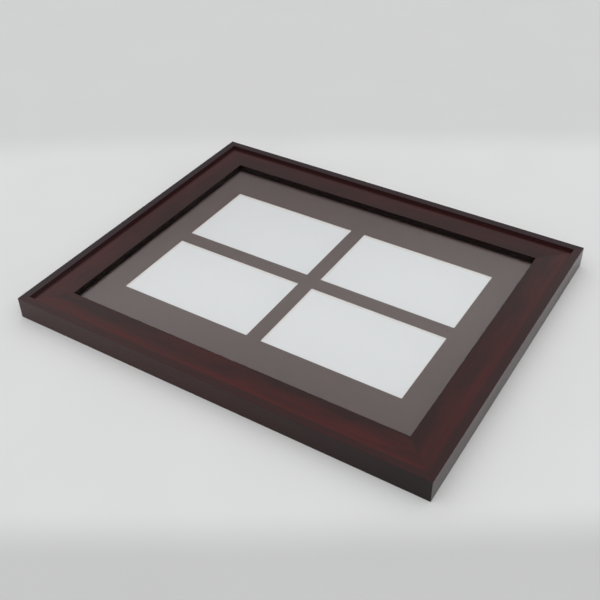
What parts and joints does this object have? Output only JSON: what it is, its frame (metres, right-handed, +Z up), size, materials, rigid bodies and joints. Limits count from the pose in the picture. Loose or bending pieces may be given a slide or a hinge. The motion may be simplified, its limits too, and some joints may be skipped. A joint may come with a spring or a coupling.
{
  "type": "collage picture frame",
  "caption": "Landscape wooden picture frame with a raised outer lip, glass, a dark mat with windows for small photos, and a back held by turn buttons.",
  "frame": {"origin": "middle of the frame on the surface that it lies on, face up", "axes": "+X along the long rails, +Y towards the top rail, +Z up out of the glass"},
  "size_m": [0.4206, 0.3444, 0.0221],
  "materials": {
    "stained_wood": "dark red-brown stain under satin lacquer",
    "glass": "clear float glass",
    "spacer_strip": "black plastic strip, matt",
    "mat_board": "matt dark brown paper on a white core",
    "photo_card": "blank white card",
    "filler_sheet": "grey-brown card",
    "hardboard": "smooth brown hardboard",
    "nail_steel": "bright steel strip",
    "plated_steel": "zinc plated, satin"
  },
  "bodies": {
    "frame": {"rail_top": "stained_wood", "rail_bottom": "stained_wood", "rail_left": "stained_wood", "rail_right": "stained_wood", "v_nails": "nail_steel", "glass_pane": "glass", "glass_spacers": "spacer_strip", "mat_board": "mat_board", "photo_card_top_left": "photo_card", "photo_card_top_right": "photo_card", "photo_card_bottom_left": "photo_card", "photo_card_bottom_right": "photo_card", "filler_sheet": "filler_sheet", "backing_board": "hardboard", "turn_button_screws": "plated_steel", "hanger_strap_left": "plated_steel", "hanger_strap_right": "plated_steel", "hanger_screws": "plated_steel"},
    "turn_button_top_left": {"turn_button_top_left": "plated_steel"},
    "turn_button_top_right": {"turn_button_top_right": "plated_steel"},
    "turn_button_bottom_left": {"turn_button_bottom_left": "plated_steel"},
    "turn_button_bottom_right": {"turn_button_bottom_right": "plated_steel"},
    "turn_button_left": {"turn_button_left": "plated_steel"},
    "turn_button_right": {"turn_button_right": "plated_steel"},
    "hanger_ring_left": {"hanger_ring_left": "plated_steel"},
    "hanger_ring_right": {"hanger_ring_right": "plated_steel"}
  },
  "joints": [
    {"name": "turn_button_top_left_pivot", "type": "hinge", "parent": "frame", "child": "turn_button_top_left", "pos_m": [-0.10096, 0.14852, 0.0052], "axis": [0, 0, 1], "range_deg": [-155, 155]},
    {"name": "turn_button_top_right_pivot", "type": "hinge", "parent": "frame", "child": "turn_button_top_right", "pos_m": [0.10096, 0.14852, 0.0052], "axis": [0, 0, 1], "range_deg": [-155, 155]},
    {"name": "turn_button_bottom_left_pivot", "type": "hinge", "parent": "frame", "child": "turn_button_bottom_left", "pos_m": [-0.10096, -0.14852, 0.0052], "axis": [0, 0, 1], "range_deg": [-155, 155]},
    {"name": "turn_button_bottom_right_pivot", "type": "hinge", "parent": "frame", "child": "turn_button_bottom_right", "pos_m": [0.10096, -0.14852, 0.0052], "axis": [0, 0, 1], "range_deg": [-155, 155]},
    {"name": "turn_button_left_pivot", "type": "hinge", "parent": "frame", "child": "turn_button_left", "pos_m": [-0.18663, 0, 0.0052], "axis": [0, 0, 1], "range_deg": [-155, 155]},
    {"name": "turn_button_right_pivot", "type": "hinge", "parent": "frame", "child": "turn_button_right", "pos_m": [0.18663, 0, 0.0052], "axis": [0, 0, 1], "range_deg": [-155, 155]},
    {"name": "hanger_ring_left_swing", "type": "hinge", "parent": "frame", "child": "hanger_ring_left", "pos_m": [-0.19098, 0.05741, 0.00425], "axis": [1, 0, 0], "range_deg": [-140, 22]},
    {"name": "hanger_ring_right_swing", "type": "hinge", "parent": "frame", "child": "hanger_ring_right", "pos_m": [0.19098, 0.05741, 0.00425], "axis": [1, 0, 0], "range_deg": [-140, 22]}
  ]
}
